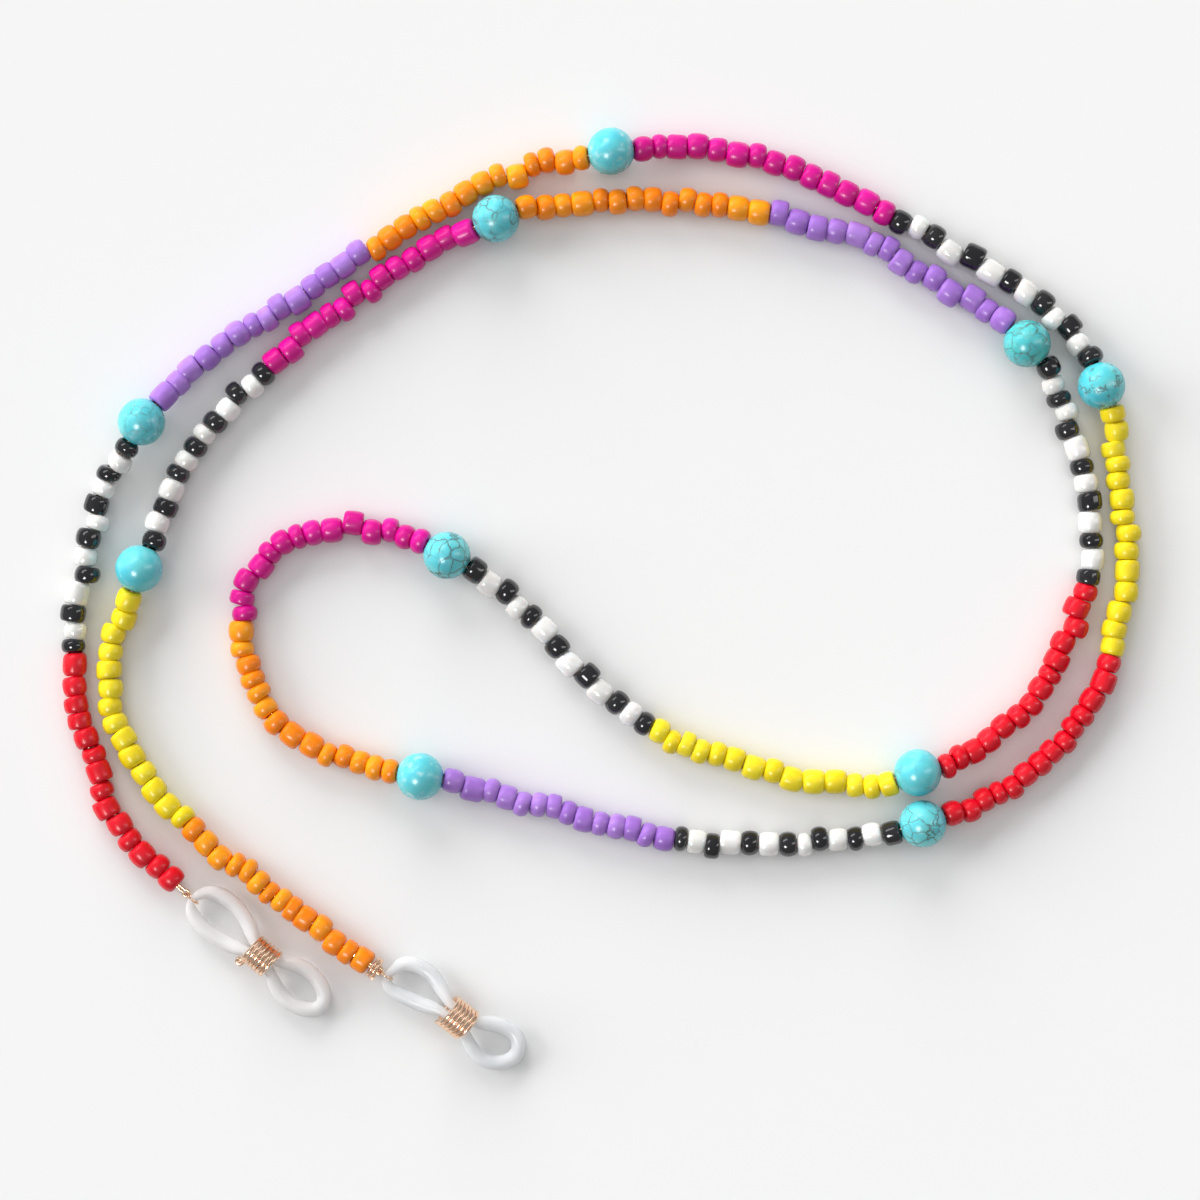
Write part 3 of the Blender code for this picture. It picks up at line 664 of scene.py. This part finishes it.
def turquoise_group():
    """Turquoise: a cloudy blue-green with a web of matrix, loose dashes and pale patches."""
    group = bpy.data.node_groups.new("turquoise_matrix", "ShaderNodeTree")
    sockets = group.interface
    for name in ("Colour", "Green Colour", "Matrix Colour"):
        sockets.new_socket(name, in_out="INPUT", socket_type="NodeSocketColor")
    for name in ("Web", "Web Width", "Dashes", "Pale Patches", "Shift"):
        sockets.new_socket(name, in_out="INPUT", socket_type="NodeSocketFloat")
    sockets.new_socket("Colour", in_out="OUTPUT", socket_type="NodeSocketColor")
    sockets.new_socket("Roughness", in_out="OUTPUT", socket_type="NodeSocketFloat")
    sockets.new_socket("Height", in_out="OUTPUT", socket_type="NodeSocketFloat")
    inside = add_node(group, "NodeGroupInput", (-1500, 0))
    outside = add_node(group, "NodeGroupOutput", (1100, 0))
    place = add_node(group, "ShaderNodeTexCoord", (-1500, -400))
    moved = add_node(group, "ShaderNodeVectorMath", (-1300, -300))
    moved.operation = "ADD"
    bent = add_node(group, "ShaderNodeTexNoise", (-1100, -500), {"Scale": 520.0, "Detail": 3.0})
    bend = add_node(group, "ShaderNodeVectorMath", (-900, -400))
    bend.operation = "MULTIPLY_ADD"
    bend.inputs[1].default_value = (0.0016, 0.0016, 0.0016)
    web = add_node(group, "ShaderNodeTexVoronoi", (-700, -300), {"Scale": 560.0})
    web.feature = "DISTANCE_TO_EDGE"
    web_line = add_node(group, "ShaderNodeMapRange", (-480, -300), {"To Min": 1.0, "To Max": 0.0})
    gaps = add_node(group, "ShaderNodeTexNoise", (-700, -560), {"Scale": 330.0, "Detail": 2.0})
    gap_mask = add_node(
        group, "ShaderNodeMapRange", (-480, -560), {"From Min": 0.30, "From Max": 0.5}
    )
    web_mask = add_node(group, "ShaderNodeMath", (-260, -360))
    web_mask.operation = "MULTIPLY"
    web_amount = add_node(group, "ShaderNodeMath", (-80, -300))
    web_amount.operation = "MULTIPLY"
    dash = add_node(group, "ShaderNodeTexVoronoi", (-700, -820), {"Scale": 1250.0})
    dash.feature = "DISTANCE_TO_EDGE"
    dash_line = add_node(
        group, "ShaderNodeMapRange", (-480, -820),
        {"From Min": 0.0, "From Max": 0.16, "To Min": 1.0, "To Max": 0.0},
    )
    dash_gap = add_node(
        group, "ShaderNodeTexNoise", (-700, -1060), {"Scale": 900.0, "Detail": 1.0}
    )
    dash_mask = add_node(
        group, "ShaderNodeMapRange", (-480, -1060), {"From Min": 0.54, "From Max": 0.62}
    )
    dash_both = add_node(group, "ShaderNodeMath", (-260, -860))
    dash_both.operation = "MULTIPLY"
    dash_amount = add_node(group, "ShaderNodeMath", (-80, -800))
    dash_amount.operation = "MULTIPLY"
    all_marks = add_node(group, "ShaderNodeMath", (120, -500))
    all_marks.operation = "MAXIMUM"
    cloud = add_node(group, "ShaderNodeTexNoise", (-700, 200), {"Scale": 300.0, "Detail": 4.0})
    cloud_mask = add_node(
        group, "ShaderNodeMapRange", (-480, 200), {"From Min": 0.35, "From Max": 0.7}
    )
    ground = add_node(group, "ShaderNodeMix", (-200, 200))
    ground.data_type = "RGBA"
    patch = add_node(group, "ShaderNodeTexNoise", (-700, 460), {"Scale": 760.0, "Detail": 2.0})
    patch_mask = add_node(
        group, "ShaderNodeMapRange", (-480, 460), {"From Min": 0.55, "From Max": 0.72}
    )
    patch_amount = add_node(group, "ShaderNodeMath", (-200, 460))
    patch_amount.operation = "MULTIPLY"
    pale = add_node(group, "ShaderNodeMix", (120, 260))
    pale.data_type = "RGBA"
    pale.inputs["B"].default_value = (0.60, 0.80, 0.80, 1)
    veined = add_node(group, "ShaderNodeMix", (480, 120))
    veined.data_type = "RGBA"
    rough = add_node(group, "ShaderNodeMath", (480, -200), {1: 0.25, 2: 0.26})
    rough.operation = "MULTIPLY_ADD"
    height = add_node(group, "ShaderNodeMath", (480, -420), {0: 1.0})
    height.operation = "SUBTRACT"
    link = group.links.new
    link(place.outputs["Object"], moved.inputs[0])
    link(inside.outputs["Shift"], moved.inputs[1])
    link(moved.outputs[0], bent.inputs["Vector"])
    link(bent.outputs["Color"], bend.inputs[0])
    link(moved.outputs[0], bend.inputs[2])
    for node in (web, dash):
        link(bend.outputs[0], node.inputs["Vector"])
    for node in (gaps, dash_gap, cloud, patch):
        link(moved.outputs[0], node.inputs["Vector"])
    link(web.outputs["Distance"], web_line.inputs["Value"])
    link(inside.outputs["Web Width"], web_line.inputs["From Max"])
    link(gaps.outputs["Fac"], gap_mask.inputs["Value"])
    link(web_line.outputs["Result"], web_mask.inputs[0])
    link(gap_mask.outputs["Result"], web_mask.inputs[1])
    link(web_mask.outputs[0], web_amount.inputs[0])
    link(inside.outputs["Web"], web_amount.inputs[1])
    link(dash.outputs["Distance"], dash_line.inputs["Value"])
    link(dash_gap.outputs["Fac"], dash_mask.inputs["Value"])
    link(dash_line.outputs["Result"], dash_both.inputs[0])
    link(dash_mask.outputs["Result"], dash_both.inputs[1])
    link(dash_both.outputs[0], dash_amount.inputs[0])
    link(inside.outputs["Dashes"], dash_amount.inputs[1])
    link(web_amount.outputs[0], all_marks.inputs[0])
    link(dash_amount.outputs[0], all_marks.inputs[1])
    link(cloud.outputs["Fac"], cloud_mask.inputs["Value"])
    link(cloud_mask.outputs["Result"], ground.inputs["Factor"])
    link(inside.outputs["Colour"], ground.inputs["A"])
    link(inside.outputs["Green Colour"], ground.inputs["B"])
    link(patch.outputs["Fac"], patch_mask.inputs["Value"])
    link(patch_mask.outputs["Result"], patch_amount.inputs[0])
    link(inside.outputs["Pale Patches"], patch_amount.inputs[1])
    link(patch_amount.outputs[0], pale.inputs["Factor"])
    link(ground.outputs["Result"], pale.inputs["A"])
    link(all_marks.outputs[0], veined.inputs["Factor"])
    link(pale.outputs["Result"], veined.inputs["A"])
    link(inside.outputs["Matrix Colour"], veined.inputs["B"])
    link(all_marks.outputs[0], rough.inputs[0])
    link(all_marks.outputs[0], height.inputs[1])
    link(veined.outputs["Result"], outside.inputs["Colour"])
    link(rough.outputs[0], outside.inputs["Roughness"])
    link(height.outputs[0], outside.inputs["Height"])
    return group


turquoise_matrix = turquoise_group()

# Each stone's web of cracks, the web's width, its dashes and its pale patches
STONE_MARKS = {
    1: (0.60, 0.04, 0.10, 0.25),
    2: (0.10, 0.03, 0.15, 0.5),
    3: (0.10, 0.03, 0.95, 0.2),
    4: (1.00, 0.055, 0.30, 0.1),
    5: (0.10, 0.03, 0.10, 0.5),
    6: (1.00, 0.07, 0.30, 0.1),
    7: (0.55, 0.04, 0.00, 0.1),
    8: (1.00, 0.06, 0.30, 0.1),
    9: (1.00, 0.08, 0.40, 0.1),
    10: (0.00, 0.02, 0.00, 0.1),
}


# The two deeper stones: how much of the red, green and blue of the others they keep
STONE_DEPTHS = {3: (0.75, 0.92, 0.94), 8: (0.66, 0.87, 0.81)}


def turquoise_material(number):
    """One stone's turquoise, with its own share of matrix."""
    web, web_width, dashes, pale = STONE_MARKS[number]
    paint = bpy.data.materials.new(f"turquoise_{number:02d}")
    paint.use_nodes = True
    tree = paint.node_tree
    shader = tree.nodes["Principled BSDF"]
    shader.inputs["IOR"].default_value = 1.6
    shader.inputs["Coat Weight"].default_value = 0.15
    shader.inputs["Coat Roughness"].default_value = 0.2
    stone = add_node(tree, "ShaderNodeGroup", (-520, 0))
    stone.node_tree = turquoise_matrix
    red, green, blue = STONE_DEPTHS.get(number, (1.0, 1.0, 1.0))
    stone.inputs["Colour"].default_value = (0.075 * red, 0.52 * green, 0.62 * blue, 1)
    stone.inputs["Green Colour"].default_value = (0.13 * red, 0.60 * green, 0.62 * blue, 1)
    stone.inputs["Matrix Colour"].default_value = (0.065, 0.11, 0.10, 1)
    stone.inputs["Web"].default_value = web
    stone.inputs["Web Width"].default_value = web_width
    stone.inputs["Dashes"].default_value = dashes
    stone.inputs["Pale Patches"].default_value = pale
    stone.inputs["Shift"].default_value = 0.0137 * number
    bump = add_node(tree, "ShaderNodeBump", (-240, -260), {"Strength": 0.35, "Distance": 0.00005})
    tree.links.new(stone.outputs["Colour"], shader.inputs["Base Color"])
    tree.links.new(stone.outputs["Roughness"], shader.inputs["Roughness"])
    tree.links.new(stone.outputs["Height"], bump.inputs["Height"])
    tree.links.new(bump.outputs["Normal"], shader.inputs["Normal"])
    return paint


for number, distance in enumerate(stone_distances, 1):
    stone = stone_pattern.copy()
    stone.data = stone_pattern.data.copy()
    bpy.context.scene.collection.objects.link(stone)
    stone.name = f"stone_{number:02d}_polished"
    turn = thread_way(distance).to_track_quat("Z", "Y")
    stone.data.transform(Matrix.LocRotScale(thread_at(distance), turn, None))
    stone.data.materials.append(turquoise_material(number))
    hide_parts(f"turquoise_stone_{number:02d}")
    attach(stone, f"stone_{number:02d}")
bpy.data.objects.remove(stone_pattern, do_unlink=True)

# ---------------------------------------------------------------------------------------------
# The crimps are short gold-coloured tubes, squeezed on the wire and its tail inside the last
# beads. Only a glint of them shows down a bead's hole.

rose_gold_plate = plated_wire_material(
    "rose_gold_plate", (0.96, 0.69, 0.50, 1), (0.66, 0.38, 0.22, 1), 0.20, 0.30
)
for letter in "ab":
    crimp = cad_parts[f"crimp_{letter}"]
    crimp.data.materials.clear()
    crimp.data.materials.append(rose_gold_plate)

# ---------------------------------------------------------------------------------------------
# At each end the wire leaves the last bead, makes a small eye round the jump ring and turns back
# into the crimp.

CRIMP_INSET, CRIMP_LENGTH = 0.9 * MM, 1.5 * MM
EYE_RADIUS, EYE_REACH, APEX_REACH = 0.39 * MM, 1.45 * MM, 2.58 * MM
END_ANGLES = {"a": (-42.0, -39.4, -39.4), "b": (-33.0, -29.6, -40.0)}


def heading(degrees):
    """A level direction at that angle from +X."""
    angle = math.radians(degrees)
    return Vector((math.cos(angle), math.sin(angle), 0.0))


def left_of(way):
    return Vector((-way.y, way.x, 0.0))


end_beads = {"a": thread_at(0.0), "b": thread_at(thread_length)}
end_ways = {"a": -thread_way(0.0), "b": thread_way(thread_length)}
links = {letter: heading(END_ANGLES[letter][0]) for letter in "ab"}
eyes = {letter: end_beads[letter] + links[letter] * EYE_REACH for letter in "ab"}

for letter, flex in (("a", FLEX_A), ("b", FLEX_B)):
    bead, way, link = end_beads[letter], end_ways[letter], links[letter]
    tail = CRIMP_INSET + CRIMP_LENGTH + 0.3 * MM
    if letter == "a":
        stations = np.linspace(flex - TOUCH_GAP / 2, tail * 1.5, 24)
    else:
        stations = np.linspace(flex + TOUCH_GAP / 2, thread_length - tail * 1.5, 24)
    points = [thread_at(float(d)) for d in stations]
    side = left_of(link) * (WIRE_RADIUS + 0.02 * MM)
    points += [bead - way * reach + side for reach in (tail, CRIMP_INSET)]
    points.append(bead + link * 0.30 * MM + side)
    for degrees in range(-150, 151, 15):
        angle = math.radians(degrees)
        swing = link * math.cos(angle) - left_of(link) * math.sin(angle)
        points.append(eyes[letter] + swing * EYE_RADIUS)
    points.append(bead + link * 0.30 * MM - side)
    points += [bead - way * reach - side for reach in (CRIMP_INSET, tail)]
    eye_wire = as_solid(bend_wire(f"end_wire_{letter}_with_eye", points, WIRE_RADIUS, sides=4))
    eye_wire.data.materials.append(fine_gold_wire)
    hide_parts(f"stringing_wire_end_{letter}")
    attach(eye_wire, f"strand_end_{letter}")

# ---------------------------------------------------------------------------------------------
# Each jump ring is a round of rose-gold wire, bent open and shut again, so that a hairline gap
# is left. It stands on edge and holds the silicone loop.

RING_RADIUS, RING_WIRE_RADIUS = 0.94 * MM, 0.16 * MM
RING_GAP_DEGREES = 5

for letter in "ab":
    middle = eyes[letter] + links[letter] * RING_RADIUS
    turns = np.radians(np.linspace(90 + RING_GAP_DEGREES / 2, 450 - RING_GAP_DEGREES / 2, 60))
    points = [
        middle + (links[letter] * math.cos(t) + UP * math.sin(t)) * RING_RADIUS for t in turns
    ]
    ring = as_solid(bend_wire(f"jump_ring_{letter}_plated", points, RING_WIRE_RADIUS, sides=4))
    ring.data.materials.append(rose_gold_plate)
    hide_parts(f"jump_ring_{letter}")
    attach(ring, f"ring_{letter}")

# ---------------------------------------------------------------------------------------------
# The collar is two turns of rose-gold wire, one close beside the other, round the stringing wire
# at end B. It is much wider than that wire and sits against the last bead. End A has none.

COLLAR_RADIUS, COLLAR_WIRE_RADIUS = 1.28 * MM, 0.20 * MM
COLLAR_PITCH, COLLAR_TURNS, COLLAR_START = 0.44 * MM, 2.0, 0.34 * MM
COIL_STEPS_A_TURN = 36


def coil_points(middle, axis, radius, pitch, turns):
    """The centreline of a close-wound coil, which starts at its axis' right side."""
    steps = int(turns * COIL_STEPS_A_TURN)
    side = left_of(axis).normalized()
    rise = axis.cross(side)
    points = []
    for i in range(steps + 1):
        turned = i / COIL_STEPS_A_TURN
        angle = 2 * math.pi * turned
        swing = rise * math.sin(angle) - side * math.cos(angle)
        points.append(middle + axis * (turned - turns / 2) * pitch + swing * radius)
    return points


collar_middle = end_beads["b"] + links["b"] * (COLLAR_START + COLLAR_PITCH * COLLAR_TURNS / 2)
collar_line = coil_points(collar_middle, links["b"], COLLAR_RADIUS, COLLAR_PITCH, COLLAR_TURNS)
collar = as_solid(bend_wire("collar_b_plated", collar_line, COLLAR_WIRE_RADIUS, sides=4))
collar.data.materials.append(rose_gold_plate)
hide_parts("wire_collar_b")
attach(collar, "strand_end_b")

# ---------------------------------------------------------------------------------------------
# The silicone loops are cut from milky tube. Each passes through its jump ring, where it is
# pinched, and through the coil, which squeezes both strands together and makes two eyes. Each
# eye is its own piece.

SILICONE_RADIUS = 0.95 * MM
LOOPS = {
    "a": [
        (0.00, 0.00, 1.52, 0.50), (0.25, 0.98, 1.38, 0.64), (1.20, 2.08, 1.10, 0.86),
        (3.00, 2.66, 0.99, 0.97), (5.00, 2.62, 0.99, 0.97), (7.00, 2.05, 1.10, 0.97),
        (8.60, 1.22, 1.60, 0.82), (9.60, 0.72, 2.00, 0.60), (11.1, 0.67, 2.10, 0.57),
        (12.8, 0.72, 2.00, 0.62), (14.1, 1.30, 1.55, 0.80), (15.8, 2.00, 1.10, 0.96),
        (17.6, 2.18, 0.99, 0.96), (19.4, 1.66, 0.99, 0.96), (20.5, 0.85, 0.99, 0.96),
        (20.8, 0.00, 0.99, 0.96), (20.5, -0.95, 0.99, 0.96), (19.4, -1.85, 0.99, 0.96),
        (17.5, -2.38, 0.99, 0.96), (15.7, -2.20, 1.10, 0.96), (14.1, -1.40, 1.55, 0.80),
        (12.8, -0.74, 2.00, 0.62), (11.1, -0.67, 2.10, 0.57), (9.50, -0.72, 2.00, 0.60),
        (8.30, -1.10, 1.60, 0.84), (6.80, -1.60, 1.10, 0.97), (4.80, -1.98, 0.99, 0.97),
        (3.00, -1.98, 0.99, 0.97), (1.40, -1.62, 1.10, 0.86), (0.35, -0.90, 1.38, 0.64),
    ],
    "b": [
        (0.00, 0.00, 1.52, 0.50), (0.30, 0.95, 1.38, 0.64), (0.85, 2.05, 1.10, 0.84),
        (1.95, 2.76, 0.99, 0.94), (3.40, 2.98, 0.99, 0.95), (4.90, 2.82, 0.99, 0.95),
        (6.20, 2.22, 1.10, 0.93), (7.30, 1.60, 1.60, 0.80), (8.50, 0.98, 2.00, 0.60),
        (10.22, 0.63, 2.10, 0.57), (11.8, 0.40, 2.00, 0.60), (13.0, 0.66, 1.55, 0.80),
        (14.6, 1.30, 1.10, 0.95), (16.3, 1.66, 0.99, 0.96), (17.8, 1.35, 0.99, 0.96),
        (18.7, 0.35, 0.99, 0.96), (18.8, -0.90, 0.99, 0.96), (18.0, -2.15, 0.99, 0.96),
        (16.6, -3.00, 0.99, 0.96), (15.0, -3.12, 1.05, 0.96), (13.5, -2.52, 1.25, 0.90),
        (12.4, -1.75, 1.65, 0.76), (11.4, -1.06, 2.00, 0.60), (9.98, -0.71, 2.10, 0.57),
        (8.20, -0.45, 2.00, 0.60), (6.80, -0.62, 1.60, 0.82), (5.20, -0.98, 1.10, 0.95),
        (3.20, -1.22, 0.99, 0.95), (1.60, -1.30, 1.10, 0.84), (0.45, -0.85, 1.38, 0.64),
    ],
}
COIL_CENTRES = {"a": (11.1, 0.0, 2.10), "b": (10.1, -0.04, 2.10)}


def on_loop(letter, along, across, height):
    """A place given in millimetres along and across the loop, and above the table."""
    way = heading(END_ANGLES[letter][1])
    apex = end_beads[letter] + links[letter] * APEX_REACH
    flat = apex + (way * along + left_of(way) * across) * MM
    return Vector((flat.x, flat.y, height * MM))


def silicone_material(name, colour, cloudy, gloss):
    """Milky silicone: some light goes through it, and its skin is smooth."""
    paint = bpy.data.materials.new(name)
    paint.use_nodes = True
    tree = paint.node_tree
    shader = tree.nodes["Principled BSDF"]
    shader.inputs["IOR"].default_value = 1.41
    shader.inputs["Specular IOR Level"].default_value = 0.1
    shader.inputs["Subsurface Weight"].default_value = 1.0
    shader.inputs["Subsurface Radius"].default_value = (1.0, 0.95, 0.9)
    shader.inputs["Subsurface Scale"].default_value = 0.004
    shader.inputs["Transmission Weight"].default_value = 0.28
    shader.inputs["Coat Weight"].default_value = gloss
    shader.inputs["Coat Roughness"].default_value = 0.06
    place = add_node(tree, "ShaderNodeTexCoord", (-900, 0))
    cloud = add_node(tree, "ShaderNodeTexNoise", (-700, 100), {"Scale": 160.0, "Detail": 2.0})
    film = add_node(tree, "ShaderNodeTexNoise", (-700, -200), {"Scale": 700.0, "Detail": 2.0})
    tint = add_node(tree, "ShaderNodeMix", (-400, 120))
    tint.data_type = "RGBA"
    tint.inputs["A"].default_value = (*colour, 1)
    tint.inputs["B"].default_value = (*cloudy, 1)
    rough = add_node(tree, "ShaderNodeMath", (-400, -160), {1: 0.12, 2: 0.32})
    rough.operation = "MULTIPLY_ADD"
    link = tree.links.new
    link(place.outputs["Object"], cloud.inputs["Vector"])
    link(place.outputs["Object"], film.inputs["Vector"])
    link(cloud.outputs["Fac"], tint.inputs["Factor"])
    link(tint.outputs["Result"], shader.inputs["Base Color"])
    link(film.outputs["Fac"], rough.inputs[0])
    link(rough.outputs[0], shader.inputs["Roughness"])
    return paint


milky_silicone = {
    "a": silicone_material("warm_silicone", (0.85, 0.825, 0.817), (0.825, 0.80, 0.792), 0.03),
    "b": silicone_material("cool_silicone", (0.84, 0.86, 0.885), (0.815, 0.835, 0.855), 0.50),
}

for letter in "ab":
    rows = [(*on_loop(letter, *row[:3]), row[3] * MM) for row in LOOPS[letter]]
    path = smooth_path(rows, closed=True, step=0.22 * MM)
    coil_middle = np.array(on_loop(letter, *COIL_CENTRES[letter]))
    gaps = np.linalg.norm(path[:, :3] - coil_middle, axis=1)
    half = len(path) // 2
    out, back = int(gaps[:half].argmin()), half + int(gaps[half:].argmin())
    near_eye = np.vstack([path[back:], path[: out + 1]])
    far_eye = path[out : back + 1]
    for name, line in (("near", near_eye), ("far", far_eye)):
        points = [Vector(row[:3]) for row in line]
        tube = bend_wire(
            f"silicone_{letter}_{name}_eye", points, SILICONE_RADIUS, line[:, 3], sides=8
        )
        tube = as_solid(tube)
        tube.data.materials.append(milky_silicone[letter])
        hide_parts(f"silicone_loop_{letter}")
        if name == "near":
            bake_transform(tube)
        else:
            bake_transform(tube)

# ---------------------------------------------------------------------------------------------
# Each slider is a close-wound coil of rose-gold wire, cut off with a short curled end. Pushed
# towards the far eye, it tightens that eye on a temple arm.

COIL_WIRE_RADIUS, COIL_PITCH, COIL_TURNS = 0.26 * MM, 0.60 * MM, 5.6
CURL_RADIUS = 0.37 * MM
# Each coil's radius, how far it rides up on the tube, and how far its far end dips
COIL_FORMS = {"a": (1.81 * MM, 0.0, 0.0), "b": (1.98 * MM, 0.55 * MM, 0.28)}

for letter in "ab":
    coil_radius, lift, dip = COIL_FORMS[letter]
    axis = (heading(END_ANGLES[letter][2]) - UP * dip).normalized()
    middle = on_loop(letter, *COIL_CENTRES[letter]) + UP * lift
    points = coil_points(middle, axis, coil_radius, COIL_PITCH, COIL_TURNS)
    if letter == "a":
        # The wire's first end is curled out of the coil's side
        side = left_of(axis)
        start = points[0].copy()
        for degrees in range(-30, -301, -30):
            angle = math.radians(degrees)
            swing = side * (math.cos(angle) - 1.0) + axis * math.sin(angle)
            points.insert(0, start + swing * CURL_RADIUS)
    coil = as_solid(bend_wire(f"coil_{letter}_plated", points, COIL_WIRE_RADIUS, sides=5))
    coil.data.materials.append(rose_gold_plate)
    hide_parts(f"coil_slider_{letter}")
    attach(coil, f"slider_{letter}")
